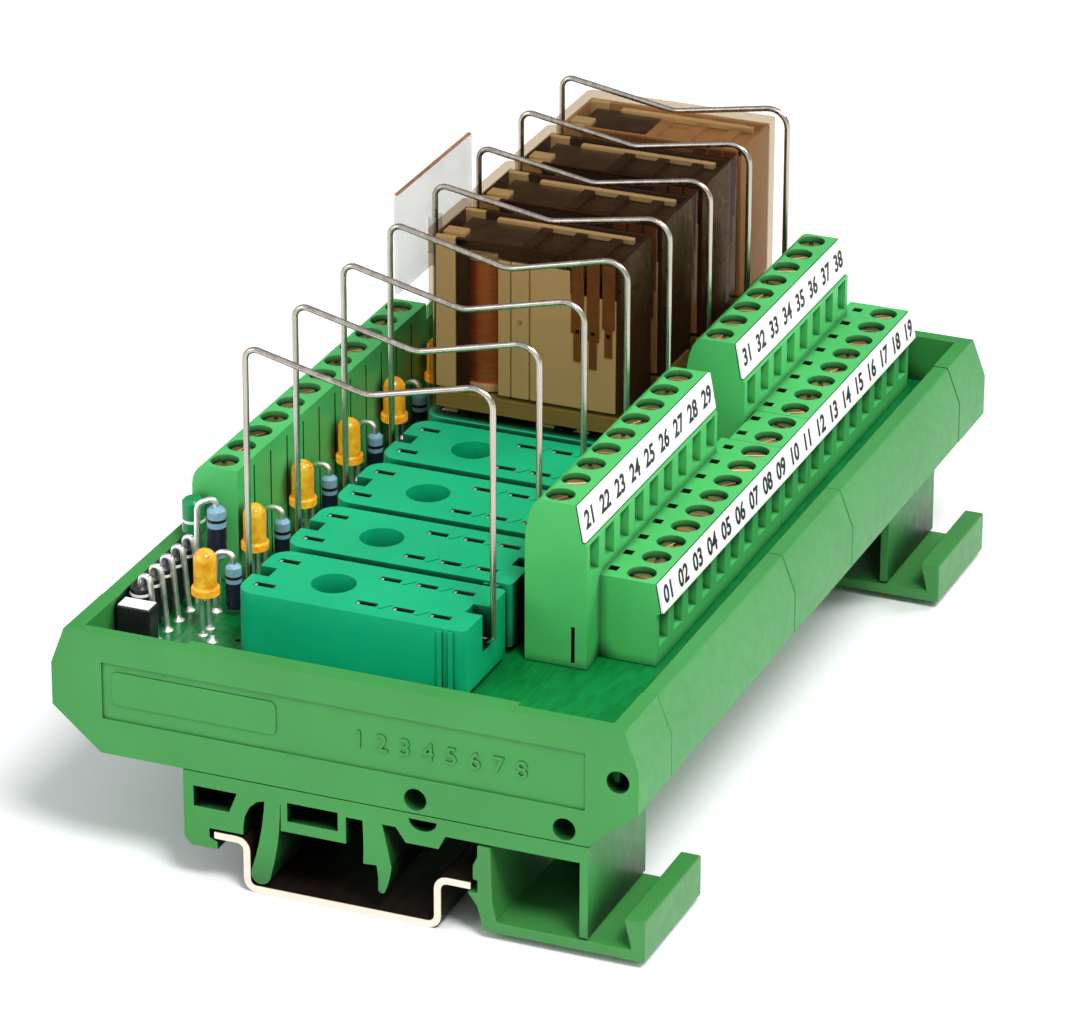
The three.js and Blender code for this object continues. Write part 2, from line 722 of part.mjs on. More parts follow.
function addRelayPlaces() {
  for (let number = 1; number <= RELAY_PLACES; number += 1) {
    const y = placeY(number);
    const plugged = number >= FIRST_RELAY;
    place("relay_socket_" + number, relaySocket(), socketGreen(), 0, y);
    const dip = plugged ? CLIP_DIP_ON_RELAY : CLIP_DIP;
    place("retaining_clip_" + number, retainingClip(dip), springSteel(), 0, y);
    if (!plugged) continue;
    place("relay_" + number + "_base", relayPlate(), relayBase(), 0, y);
    place("relay_" + number + "_cover", relayCover(), smokedClear(), 0, y);
    place("relay_" + number + "_coil", relayCoil(), copper(), 0, y);
    place("relay_" + number + "_contacts", relayContacts(), contactBrass(), 0, y);
  }
}

// A clear marker sheet beside the first relay, with two jaws that straddle the clip's left leg.
function addMarkerSheet() {
  const leg = CLIP_CENTRE - CLIP_HALF_WIDTH;
  const outer = leg - WIRE_RADIUS - 1;
  const clipY = placeY(FIRST_RELAY);
  const sheet = box(outer, outer + 0.6, clipY - 10.5, clipY + 14.5, FLOOR + 38.5, FLOOR + 52.5);
  const jaws = [-1.35, 0.75].map((y) =>
    box(outer + 0.3, leg + 0.5, clipY + y, clipY + y + 0.6, FLOOR + 41, FLOOR + 46),
  );
  place("marker_sheet", joined(sheet, ...jaws), clearSheet());
}

// ---------------------------------------------------------------------------------------------------------
// Screw terminals and their label strips
// ---------------------------------------------------------------------------------------------------------

const BLOCK_FOOT = BOARD_TOP + SEAT_GAP;
const BLOCK_GAP = 0.05;

// The left shoulder of a tower, from its upright side to its flat top.
const SHOULDER = arc(TOWER_LEFT + 2.2, TOWER_TOP - 6.5, 2.2, 6.5, 90, 180, 5);

// The high rear tier of a terminal block, with its slanted label face on the right.
const TOWER_OUTLINE = [
  [TOWER_LEFT, BLOCK_FOOT],
  [TOWER_RIGHT, BLOCK_FOOT],
  [TOWER_RIGHT, TOWER_TOP - 5.3],
  [TOWER_RIGHT - 0.7, TOWER_TOP - 5],
  [TOWER_RIGHT - 1.6, TOWER_TOP],
  ...SHOULDER,
];

// The low front tier, with its label face on the right.
const TIER_OUTLINE = [
  [TOWER_RIGHT - 1, BLOCK_FOOT],
  [TIER_RIGHT, BLOCK_FOOT],
  [TIER_RIGHT, TIER_TOP - 4.4],
  [TIER_RIGHT + 0.5, TIER_TOP - 4],
  [TIER_RIGHT - 0.2, TIER_TOP],
  [TOWER_RIGHT - 1, TIER_TOP],
];

function poleCentres(poles, y0) {
  return Array.from({ length: poles }, (_, pole) => y0 + (pole + 0.5) * POLE);
}

// The screw recesses in the top of a row of poles, at height top.
function screwRecesses(poles, y0, x, top) {
  return poleCentres(poles, y0).map((y) => upright(SCREW_RECESS, x, y, top - SCREW_SINK, top + 1, 20));
}

// The wire entries of a row of poles in the upright face at x: funnels whose floor falls towards the face.
function wireEntries(poles, y0, x, top) {
  const back = x - ENTRY_DEPTH;
  const outline = [
    [x + 1, top],
    [back, top],
    [back, top - 3],
    [x - 0.8, top - ENTRY_HEIGHT],
    [x + 1, top - ENTRY_HEIGHT],
  ];
  return poleCentres(poles, y0).map((y) => prismAlongY(outline, y - ENTRY_WIDTH / 2, y + ENTRY_WIDTH / 2));
}

function tower(poles, y0) {
  const body = prismAlongY(TOWER_OUTLINE, y0 + BLOCK_GAP, y0 + poles * POLE - BLOCK_GAP);
  const slit = box(TOWER_RIGHT - 2.1, TOWER_RIGHT - 1.6, y0 - 1, y0 + 1, BLOCK_FOOT + 0.6, BLOCK_FOOT + 5.6);
  return cut(
    body,
    slit,
    ...screwRecesses(poles, y0, TOWER_SCREW_X, TOWER_TOP),
    ...wireEntries(poles, y0, TOWER_RIGHT, TOWER_TOP - 5.5),
  );
}

// A low tier, with a small test hole behind each screw.
function tier(poles, y0) {
  const body = prismAlongY(TIER_OUTLINE, y0 + BLOCK_GAP, y0 + poles * POLE - BLOCK_GAP);
  const [x, half] = [TEST_HOLE_X, TEST_HOLE / 2];
  const testHoles = poleCentres(poles, y0).map((y) =>
    box(x - half, x + half, y - half, y + half, TIER_TOP - 2.5, TIER_TOP + 1),
  );
  return cut(
    body,
    ...testHoles,
    ...screwRecesses(poles, y0, TIER_SCREW_X, TIER_TOP),
    ...wireEntries(poles, y0, TIER_RIGHT, TIER_TOP - 4.6),
  );
}

// A two-level block: the tower stands beside the tier and starts a little before it.
function doubleBlock(poles, lowerStart) {
  return joined(tower(poles, lowerStart - TIER_OFFSET), tier(poles, lowerStart));
}

// The plain one-level block that fills the gap between the two towers.
function middleBlock(y0) {
  const y1 = y0 + MIDDLE_POLES * POLE;
  const clear = box(TOWER_RIGHT - 2, TOWER_RIGHT + 0.1, y0 - 1, y1 + 1, FLOOR, TIER_TOP + 1);
  return cut(tier(MIDDLE_POLES, y0), clear);
}

// The one-level block along the left wall. Shallow grooves in its right face part its poles.
function leftBlock() {
  const outline = [
    [LEFT_BLOCK_LEFT, BLOCK_FOOT],
    [LEFT_BLOCK_RIGHT, BLOCK_FOOT],
    [LEFT_BLOCK_RIGHT, LEFT_BLOCK_TOP],
    ...arc(LEFT_BLOCK_LEFT + 2, LEFT_BLOCK_TOP - 3, 2, 3, 90, 180, 5),
  ];
  const end = LEFT_BLOCK_START + LEFT_BLOCK_POLES * POLE;
  const body = prismAlongY(outline, LEFT_BLOCK_START, end);
  const screwX = (LEFT_BLOCK_LEFT + LEFT_BLOCK_RIGHT) / 2 + 0.3;
  const inner = LEFT_BLOCK_RIGHT - 0.25;
  const grooves = poleCentres(LEFT_BLOCK_POLES - 1, LEFT_BLOCK_START).map((y) => {
    const seam = y + POLE / 2;
    return box(inner, inner + 1, seam - 0.2, seam + 0.2, FLOOR, LEFT_BLOCK_TOP - 1.2);
  });
  const entries = wireEntries(LEFT_BLOCK_POLES, -end, -LEFT_BLOCK_LEFT, LEFT_BLOCK_TOP - 5);
  return cut(
    body,
    ...grooves,
    ...screwRecesses(LEFT_BLOCK_POLES, LEFT_BLOCK_START, screwX, LEFT_BLOCK_TOP),
    ...entries.map((entry) => entry.rotate([0, 0, 180])),
  );
}

// A label strip on a slanted face that runs from (x0, z0) at its lower edge to (x1, z1) at its upper edge.
function labelStrip([x0, z0], [x1, z1], y0, y1) {
  const gap = SEAT_GAP;
  const outline = [
    [x0 + gap, z0],
    [x0 + gap + LABEL_THICK, z0],
    [x1 + gap + LABEL_THICK, z1],
    [x1 + gap, z1],
  ];
  return prismAlongY(outline, y0, y1);
}

function addTerminals() {
  const middleStart = LOWER_START + FRONT_POLES * POLE;
  const rearStart = middleStart + MIDDLE_POLES * POLE;
  const lowerEnd = rearStart + REAR_POLES * POLE;
  place("terminal_block_front", doubleBlock(FRONT_POLES, LOWER_START), housingGreen());
  place("terminal_block_middle", middleBlock(middleStart), housingGreen());
  place("terminal_block_rear", doubleBlock(REAR_POLES, rearStart), housingGreen());
  place("terminal_block_left", leftBlock(), housingGreen());

  const tierLow = [TIER_RIGHT + 0.5, TIER_TOP - 3.9];
  const tierHigh = [TIER_RIGHT - 0.2, TIER_TOP];
  const towerLow = [TOWER_RIGHT - 0.7, TOWER_TOP - 4.9];
  const towerHigh = [TOWER_RIGHT - 1.6, TOWER_TOP];
  place("label_strip_lower", labelStrip(tierLow, tierHigh, LOWER_START, lowerEnd), labelWhite());
  for (const [end, start, poles] of [["front", LOWER_START, FRONT_POLES], ["rear", rearStart, REAR_POLES]]) {
    const y0 = start - TIER_OFFSET;
    place("label_strip_upper_" + end, labelStrip(towerLow, towerHigh, y0, y0 + poles * POLE), labelWhite());
  }
}

// ---------------------------------------------------------------------------------------------------------
// Status lights
// ---------------------------------------------------------------------------------------------------------

// A domed lens with a base flange, held above the board on two leads.
function statusLight() {
  const flange = LIGHT_RADIUS + 0.35;
  const shoulder = LIGHT_TOP - 1.4;
  const profile = [
    [0, LIGHT_FLANGE],
    [flange, LIGHT_FLANGE],
    [flange, LIGHT_FLANGE + 1],
    [LIGHT_RADIUS, LIGHT_FLANGE + 1],
    ...arc(0, shoulder, LIGHT_RADIUS, LIGHT_TOP - shoulder, 0, 90, 4),
  ];
  const leads = [-LEAD_OFFSET, LEAD_OFFSET].map((y) =>
    box(-0.25, 0.25, y - 0.25, y + 0.25, BOARD_TOP + SEAT_GAP, LIGHT_FLANGE + 0.5),
  );
  return joined(turned(profile, 0, 16), ...leads);
}

function addStatusLights() {
  for (let number = 1; number <= RELAY_PLACES; number += 1) {
    place("status_light_" + number, statusLight(), lensYellow(), LIGHT_X, placeY(number));
  }
}

addRail();
addFeet();
addTray();
addRelayPlaces();
addMarkerSheet();
addTerminals();
addStatusLights();

export default relayModule;
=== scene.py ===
"""The looks of a rail-mounted relay module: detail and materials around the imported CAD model.

Sizes are in millimetres and in the CAD frame: +Z up, +Y along the rail, +X towards the release levers.
"""
import math
import random

import bmesh
import bpy
from mathutils import Euler, Matrix, Vector


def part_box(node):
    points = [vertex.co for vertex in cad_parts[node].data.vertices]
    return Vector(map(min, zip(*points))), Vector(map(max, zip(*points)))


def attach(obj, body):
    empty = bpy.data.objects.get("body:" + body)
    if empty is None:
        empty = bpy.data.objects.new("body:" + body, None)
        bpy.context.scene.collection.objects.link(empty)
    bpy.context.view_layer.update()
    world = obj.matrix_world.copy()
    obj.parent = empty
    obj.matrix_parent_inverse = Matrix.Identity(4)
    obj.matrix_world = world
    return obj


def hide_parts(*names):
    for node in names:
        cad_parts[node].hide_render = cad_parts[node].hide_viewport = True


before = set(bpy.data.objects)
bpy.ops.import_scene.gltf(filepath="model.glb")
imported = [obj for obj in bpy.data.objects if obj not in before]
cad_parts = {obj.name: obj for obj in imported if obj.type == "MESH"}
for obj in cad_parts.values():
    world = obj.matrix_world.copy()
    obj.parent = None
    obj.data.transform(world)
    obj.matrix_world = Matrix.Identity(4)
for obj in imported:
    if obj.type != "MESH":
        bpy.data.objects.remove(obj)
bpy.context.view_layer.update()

MM = 0.001
RELAY_PLACES = range(1, 9)
PLUGGED_PLACES = range(5, 9)

# Screw terminals: the pitch of the poles, the gap at the start of a block, how far the low tier's poles are
# set back, and the screws.
POLE = 5.08
BLOCK_GAP = 0.05
TIER_OFFSET = 4.3
TOWER_SCREW_X = 17.6
TIER_SCREW_X = 26.9
SCREW_SINK = 1.2
SCREW_RADIUS = 1.5
SCREW_SLOT = 0.56

# Relay pins: their X, and how far they stand on either side of the middle of their place.
PIN_X = (-16.6, -2.6, 2.4, 7.4)
PIN_ROW = 3.75

# The plate on the front panel, and the numbers beside it.
PLATE_LEFT = -31.3
PLATE_RIGHT = -8.7
PLATE_LOW = 22.6
PLATE_HIGH = 27.2
PLATE_CORNER = 0.8
PANEL_SINK = 0.3
PLACE_MARK_PITCH = 3.1

# The wire clips: how far the ends turn in, how deep the top dips, and the radii of the five bends.
CLIP_WIRE_RADIUS = 0.4
CLIP_END = 1.7
CLIP_DIP = 4
CLIP_DIP_ON_RELAY = 2.9
CLIP_BENDS = (0.9, 1.5, 5, 2.6, 0.9)

# Inside a relay: the coil, and how far the pieces keep from the outside of the cover.
BOBBIN_RADIUS = 4.6
WINDING_CREST = 4.16
WINDING_GROOVE = 4.02
WINDING_TURNS = 44
FRAME_GAP = 0.9
SPRING_GAP = 0.72
END_GAP = 0.76
RELAY_FLOOR = 2.7
CARRIER_LEFT = -9.2

# The contact springs of a relay, each with its X range and the Z of its foot, and the rivets beside them.
CONTACT_SPRINGS = ((1.3, 3.1, 46.4), (3.5, 5.3, 45.6), (5.7, 7.5, 47.6))
RIVET_X = (-6, 2.2, 4.4, 6.6)
RIVET_LOW = 50.4
RIVET_HIGH = 51

# Small parts on the board: how high the lenses stand on their leads, and where the others stand.
LENS_LIFT = 5.2
DIODE_X = -34
DIODE_Y = (-51.5, -48.3, -45.1, -41.9, -38.7)
BIG_RESISTOR_AT = (-29.2, -39)
LEAD_RADIUS = 0.4

# The camera, fitted to the photo's view: metres and degrees.
CAMERA_AT = (0.265654, -0.647748, 0.347196)
CAMERA_DOWN = 24.579
CAMERA_TURN = 22.336
CAMERA_ROLL = 0.148
CAMERA_LENS = 193.577


# ----------------------------------------------------------------------------------------------------------
# Building helpers
# ----------------------------------------------------------------------------------------------------------

class Extent:
    """The box of a CAD node, in millimetres."""

    def __init__(self, node):
        low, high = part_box(node)
        self.x0, self.y0, self.z0 = (value / MM for value in low)
        self.x1, self.y1, self.z1 = (value / MM for value in high)
        self.x = (self.x0 + self.x1) / 2
        self.y = (self.y0 + self.y1) / 2


class Shape:
    """A mesh being built in millimetres. Each call adds one closed body."""

    def __init__(self):
        self.bm = bmesh.new()

    def prism(self, outline, start, end, axis="Y"):
        """Extrudes an outline of (x, z) along Y, of (x, y) along Z or of (y, z) along X."""
        order = {
            "X": lambda u, v, a: (a, u, v),
            "Y": lambda u, v, a: (u, a, v),
            "Z": lambda u, v, a: (u, v, a),
        }[axis]
        first, last = [[self.bm.verts.new(order(u, v, a)) for u, v in outline] for a in (start, end)]
        self.bm.faces.new(first)
        self.bm.faces.new(last)
        for i in range(len(outline)):
            self.bm.faces.new((first[i - 1], first[i], last[i], last[i - 1]))
        return self

    def block(self, x0, x1, y0, y1, z0, z1):
        return self.prism([(x0, z0), (x1, z0), (x1, z1), (x0, z1)], y0, y1)

    def turned(self, profile, x, y, steps=24):
        """Turns a profile of (radius, z) about a vertical axis. A profile off the axis closes on itself."""
        rings = []
        for radius, z in profile:
            count = steps if radius > 0 else 1
            angles = [2 * math.pi * i / steps for i in range(count)]
            ring = [(x + radius * math.cos(a), y + radius * math.sin(a), z) for a in angles]
            rings.append([self.bm.verts.new(at) for at in ring])
        if profile[0][0] > 0:
            rings.append(rings[0])
        for lower, upper in zip(rings, rings[1:]):
            for i in range(steps):
                j = i + 1
                corners = [lower[i % len(lower)], lower[j % len(lower)]]
                corners += [upper[j % len(upper)], upper[i % len(upper)]]
                self.bm.faces.new(list(dict.fromkeys(corners)))
        return self

    def post(self, radius, x, y, z0, z1, steps=24):
        return self.turned([(0, z0), (radius, z0), (radius, z1), (0, z1)], x, y, steps)

    def mesh(self, name):
        bmesh.ops.recalc_face_normals(self.bm, faces=self.bm.faces)
        bmesh.ops.scale(self.bm, vec=(MM, MM, MM), verts=self.bm.verts)
        mesh = bpy.data.meshes.new(name)
        self.bm.to_mesh(mesh)
        self.bm.free()
        return mesh


def linked(name, data):
    obj = bpy.data.objects.new(name, data)
    bpy.context.scene.collection.objects.link(obj)
    return obj


def rounded_route(corners, radii, steps=8):
    """The points of a line through the corners, with an arc at each inner corner."""
    corners = [Vector(corner) for corner in corners]
    points = [corners[0]]
    for before, corner, after, radius in zip(corners, corners[1:], corners[2:], radii):
        to_before = (before - corner).normalized()
        to_after = (after - corner).normalized()
        half = to_before.angle(to_after) / 2
        reach = radius / math.tan(half)
        centre = corner + (to_before + to_after).normalized() * (radius / math.sin(half))
        start = corner + to_before * reach - centre
        end = corner + to_after * reach - centre
        points += [centre + start.slerp(end, i / steps) * start.length for i in range(steps + 1)]
    return points + [corners[-1]]


def wire(name, routes, radius):
    """Round wires along routes of points in millimetres."""
    curve = bpy.data.curves.new(name, "CURVE")
    curve.dimensions = "3D"
    curve.bevel_depth = radius * MM
    curve.bevel_resolution = 3
    curve.use_fill_caps = True
    for route in routes:
        spline = curve.splines.new("POLY")
        spline.points.add(len(route) - 1)
        for point, at in zip(spline.points, route):
            point.co = (*(Vector(at) * MM), 1)
    return linked(name, curve)


def lettering(name, entries, height, thickness=0.06, weight=0.03):
    """One mesh of raised characters. An entry is a text, its centre, its reading direction and its up."""
    joined = bmesh.new()
    for text, centre, along, up in entries:
        font = bpy.data.curves.new("text", "FONT")
        font.body = text
        font.align_x = "CENTER"
        font.align_y = "CENTER"
        font.size = height * 1.38 * MM
        font.extrude = thickness / 2 * MM
        font.resolution_u = 3
        font.offset = weight * MM
        source = bpy.data.objects.new("text", font)
        mesh = bpy.data.meshes.new_from_object(source)
        along, up = Vector(along).normalized(), Vector(up).normalized()
        turn = Matrix((along, up, along.cross(up))).transposed().to_4x4()
        mesh.transform(Matrix.Translation(Vector(centre) * MM) @ turn)
        joined.from_mesh(mesh)
        bpy.data.objects.remove(source)
        bpy.data.meshes.remove(mesh)
        bpy.data.curves.remove(font)
    bmesh.ops.remove_doubles(joined, verts=joined.verts, dist=1e-7)
    bmesh.ops.recalc_face_normals(joined, faces=joined.faces)
    mesh = bpy.data.meshes.new(name)
    joined.to_mesh(mesh)
    joined.free()
    return linked(name, mesh)


def round_edges(obj, width, segments=2, angle=35):
    """Rounds every edge sharper than the angle in degrees, and keeps the faces between looking flat."""
    obj.data.shade_smooth()
    bevel = obj.modifiers.new("rounded edges", "BEVEL")
    bevel.width = width * MM
    bevel.segments = segments
    bevel.limit_method = "ANGLE"
    bevel.angle_limit = math.radians(angle)
    bevel.harden_normals = True
    return obj


def layer(middle, side, near, far):
    """The Y range between two distances from a middle, on its side -1 or 1."""
    return sorted((middle + side * near, middle + side * far))


def finished(obj, body, material, replaces=()):
    """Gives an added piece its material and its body."""
    obj.data.materials.clear()
    obj.data.materials.append(material)
    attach(obj, body)
    if replaces:
        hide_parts(*replaces)
    return obj


def add_piece(name, shape, width, body, material, replaces=(), segments=2):
    """Adds a shape as a piece with rounded edges."""
    obj = round_edges(linked(name, shape.mesh(name)), width, segments)
    return finished(obj, body, material, replaces)


def show(node, width, material, segments=2):
    """Shows a CAD node with rounded edges and a material."""
    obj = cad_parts[node]
    if "custom_normal" in obj.data.attributes:
        obj.data.attributes.remove(obj.data.attributes["custom_normal"])
    weld = obj.modifiers.new("weld", "WELD")
    weld.merge_threshold = 1e-6
    flat = obj.modifiers.new("flat faces", "DECIMATE")
    flat.decimate_type = "DISSOLVE"
    flat.angle_limit = math.radians(1)
    obj.data.materials.clear()
    obj.data.materials.append(material)
    return round_edges(obj, width, segments)


# ----------------------------------------------------------------------------------------------------------
# Materials
# ----------------------------------------------------------------------------------------------------------

class Surface:
    """A material whose colour, roughness and relief follow noise in the object's own coordinates."""

    def __init__(self, name):
        self.material = bpy.data.materials.new(name)
        self.material.use_nodes = True
        self.tree = self.material.node_tree
        self.shader = self.tree.nodes["Principled BSDF"]
        self.coordinates = self.tree.nodes.new("ShaderNodeTexCoord").outputs["Object"]

    def set(self, **values):
        """Sets constants on the shader's own sockets."""
        for name, value in values.items():
            self.shader.inputs[name.replace("_", " ").title().replace("Ior", "IOR")].default_value = value
        return self

    def noise(self, per_metre, stretch=(1, 1, 1), detail=3):
        """Noise with so many features in a metre, stretched by a factor along each axis."""
        mapping = self.tree.nodes.new("ShaderNodeMapping")
        mapping.inputs["Scale"].default_value = [per_metre / factor for factor in stretch]
        self.tree.links.new(self.coordinates, mapping.inputs["Vector"])
        noise = self.tree.nodes.new("ShaderNodeTexNoise")
        noise.inputs["Scale"].default_value = 1
        noise.inputs["Detail"].default_value = detail
        self.tree.links.new(mapping.outputs["Vector"], noise.inputs["Vector"])
        return noise.outputs["Fac"]

    def colour(self, factor, dark, light):
        """Blends the base colour from dark to light."""
        ramp = self.tree.nodes.new("ShaderNodeValToRGB")
        ramp.color_ramp.elements[0].position = 0.3
        ramp.color_ramp.elements[1].position = 0.7
        ramp.color_ramp.elements[0].color = (*dark, 1)
        ramp.color_ramp.elements[1].color = (*light, 1)
        self.tree.links.new(factor, ramp.inputs["Fac"])
        self.tree.links.new(ramp.outputs["Color"], self.shader.inputs["Base Color"])
        return self

    def roughness(self, factor, low, high):
        spread = self.tree.nodes.new("ShaderNodeMapRange")
        spread.inputs["From Min"].default_value = 0.3
        spread.inputs["From Max"].default_value = 0.7
        spread.inputs["To Min"].default_value = low
        spread.inputs["To Max"].default_value = high
        self.tree.links.new(factor, spread.inputs["Value"])
        self.tree.links.new(spread.outputs["Result"], self.shader.inputs["Roughness"])
        return self

    def relief(self, factor, depth):
        """Raises and sinks the surface by a depth in millimetres."""
        bump = self.tree.nodes.new("ShaderNodeBump")
        bump.inputs["Distance"].default_value = depth * MM
        self.tree.links.new(factor, bump.inputs["Height"])
        self.tree.links.new(bump.outputs["Normal"], self.shader.inputs["Normal"])
        return self


def shades(colour, spread):
    """A darker and a lighter shade of a colour."""
    return [tuple(channel * (1 + sign * spread) for channel in colour) for sign in (-1, 1)]


def plastic(name, colour, rough=0.38, spread=0.07, grain=0.004):
    surface = Surface(name).set(specular_ior_level=0.35)
    surface.colour(surface.noise(70), *shades(colour, spread))
    surface.roughness(surface.noise(600), rough - 0.05, rough + 0.07)
    return surface.relief(surface.noise(4500), grain).material


def plastic_with_painted_shade(name, colour, reach):
    """Plastic with painted shade: its colour grows dark where other faces close it in within a reach in
    millimetres.
    """
    surface = Surface(name).set(specular_ior_level=0.35)
    surface.colour(surface.noise(70), *shades(colour, 0.07))
    tree = surface.tree
    base = surface.shader.inputs["Base Color"]
    plain = base.links[0].from_socket
    # Painted shade: an ambient-occlusion factor blends the base colour towards near-black in hollows,
    # recesses and between parts.
    closeness = tree.nodes.new("ShaderNodeAmbientOcclusion")
    closeness.inputs["Distance"].default_value = reach * MM
    closeness.samples = 8
    depth = tree.nodes.new("ShaderNodeMapRange")
    depth.inputs["From Min"].default_value = 0.35
    depth.inputs["From Max"].default_value = 0.75
    depth.inputs["To Min"].default_value = 0.01
    mix = tree.nodes.new("ShaderNodeMix")
    mix.data_type = "RGBA"
    mix.inputs["A"].default_value = (0.002, 0.004, 0.002, 1)
    tree.links.new(closeness.outputs["AO"], depth.inputs["Value"])
    tree.links.new(depth.outputs["Result"], mix.inputs["Factor"])
    tree.links.new(plain, mix.inputs["B"])
    tree.links.new(mix.outputs["Result"], base)
    surface.roughness(surface.noise(600), 0.35, 0.47)
    return surface.relief(surface.noise(4500), 0.004).material


def rail_steel_with_painted_shade():
    """Steel coloured near-black on every face but its ends, as painted shade for the dark inside of the
    rail under the module; the sawn end faces are bare and bright.
    """
    surface = Surface("rail steel").set(metallic=0.4, specular_ior_level=0.3)
    tree = surface.tree
    # Painted shade: the near-black colour of the rail's long faces.
    surface.colour(surface.noise(900, (1, 30, 1)), (0.010, 0.007, 0.005), (0.020, 0.013, 0.009))
    base = surface.shader.inputs["Base Color"]
    plain = base.links[0].from_socket
    split = tree.nodes.new("ShaderNodeSeparateXYZ")
    along = tree.nodes.new("ShaderNodeMath")
    along.operation = "ABSOLUTE"
    mix = tree.nodes.new("ShaderNodeMix")
    mix.data_type = "RGBA"
    mix.inputs["B"].default_value = (0.85, 0.72, 0.60, 1)
    tree.links.new(tree.nodes.new("ShaderNodeNewGeometry").outputs["Normal"], split.inputs["Vector"])
    tree.links.new(split.outputs["Y"], along.inputs[0])
    tree.links.new(along.outputs["Value"], mix.inputs["Factor"])
    tree.links.new(plain, mix.inputs["A"])
    tree.links.new(mix.outputs["Result"], base)
    surface.roughness(surface.noise(700, (1, 20, 1)), 0.35, 0.5)
    return surface.relief(surface.noise(3000, (1, 10, 1)), 0.004).material


def metal(name, colour, rough=0.3, spread=0.12, stretch=(1, 1, 1), scale=400, grain=0.003):
    surface = Surface(name).set(metallic=1.0)
    surface.colour(surface.noise(scale, stretch), *shades(colour, spread))
    surface.roughness(surface.noise(scale * 2, stretch), rough - 0.08, rough + 0.12)
    return surface.relief(surface.noise(scale * 8, stretch), grain).material


def see_through(name, tint, body, head_on, grazing):
    """Thin clear plastic: tinted see-through, with a reflection that rises towards grazing angles."""
    surface = Surface(name)
    tree = surface.tree
    surface.colour(surface.noise(120), *shades(body, 0.2))
    clear = tree.nodes.new("ShaderNodeBsdfTransparent")
    clear.inputs["Color"].default_value = (*tint, 1)
    steep = tree.nodes.new("ShaderNodeMath")
    steep.operation = "POWER"
    steep.inputs[1].default_value = 4.5
    share = tree.nodes.new("ShaderNodeMapRange")
    share.inputs["To Min"].default_value = head_on
    share.inputs["To Max"].default_value = grazing
    mix = tree.nodes.new("ShaderNodeMixShader")
    gloss = surface.set(roughness=0.06, metallic=0.0).shader
    tree.links.new(tree.nodes.new("ShaderNodeLayerWeight").outputs["Facing"], steep.inputs[0])
    tree.links.new(steep.outputs["Value"], share.inputs["Value"])
    tree.links.new(share.outputs["Result"], mix.inputs["Fac"])
    tree.links.new(clear.outputs["BSDF"], mix.inputs[1])
    tree.links.new(gloss.outputs["BSDF"], mix.inputs[2])
    tree.links.new(mix.outputs["Shader"], tree.nodes["Material Output"].inputs["Surface"])
    surface.relief(surface.noise(300), 0.01)
    return surface.material


def winding_enamel():
    """Enamelled copper wire: deep red with a bright metallic highlight."""
    surface = Surface("copper winding").set(metallic=0.6, coat_weight=1.0, coat_roughness=0.15)
    surface.colour(surface.noise(300, (1, 1, 0.1)), (0.85, 0.20, 0.09), (1.0, 0.34, 0.16))
    return surface.roughness(surface.noise(500), 0.3, 0.38).material


def lens_with_painted_glow():
    surface = Surface("yellow lens").set(transmission_weight=0.55, ior=1.45)
    # Painted light: the lens is not lit, and a faint orange emission brightens it as if light scattered
    # inside.
    surface.set(emission_color=(1, 0.45, 0.01, 1), emission_strength=0.16)
    surface.colour(surface.noise(850, detail=2), (0.70, 0.27, 0.01), (1.0, 0.80, 0.08))
    return surface.roughness(surface.noise(900), 0.12, 0.25).material


def board_material():
    """Solder mask: glossy green, a little darker where the weave shows through."""
    surface = Surface("solder mask").set(specular_ior_level=0.4)
    surface.colour(surface.noise(1500, (1, 6, 1)), (0.0008, 0.13, 0.025), (0.002, 0.20, 0.04))
    surface.roughness(surface.noise(300), 0.22, 0.36)
    return surface.relief(surface.noise(1500, (6, 1, 1)), 0.01).material


# These green plastics carry painted shade in their hollows; the foot's long reach paints its deep pockets
# near-black.
HOUSING = plastic_with_painted_shade("green housing", (0.038, 0.24, 0.05), 4)
FOOT = plastic_with_painted_shade("green foot", (0.038, 0.24, 0.05), 15)
LATCH = plastic("green latch", (0.045, 0.22, 0.05))
TERMINAL = plastic_with_painted_shade("green terminal", (0.07, 0.46, 0.12), 3)
SOCKET = plastic_with_painted_shade("green socket", (0.001, 0.37, 0.155), 5)
BOARD = board_material()
RAIL = rail_steel_with_painted_shade()
SPRING_WIRE = metal("spring wire", (0.50, 0.44, 0.38), 0.24, 0.15, (1, 1, 8), 700)
BRASS = metal("brass screw", (0.62, 0.42, 0.22), 0.34, 0.3, (1, 1, 1), 200)
TIN = metal("tinned lead", (0.97, 0.97, 0.95), 0.38, 0.03, (1, 1, 4), 900)
SOLDER = metal("solder", (0.92, 0.92, 0.90), 0.45, 0.05, (1, 1, 1), 1500)
STEEL = metal("relay steel", (0.30, 0.24, 0.20), 0.35, 0.2)
SPRING_BRONZE = plastic("bronze spring", (0.27, 0.12, 0.05), rough=0.25, spread=0.2)
WINDING = winding_enamel()
# Contact metal coloured near-black: painted shade for the dark socket slots.
SHADED_CONTACT_METAL = metal("contact metal with painted shade", (0.04, 0.035, 0.03), 0.4, 0.3)
BEIGE = plastic("beige frame", (0.86, 0.80, 0.60), rough=0.4)
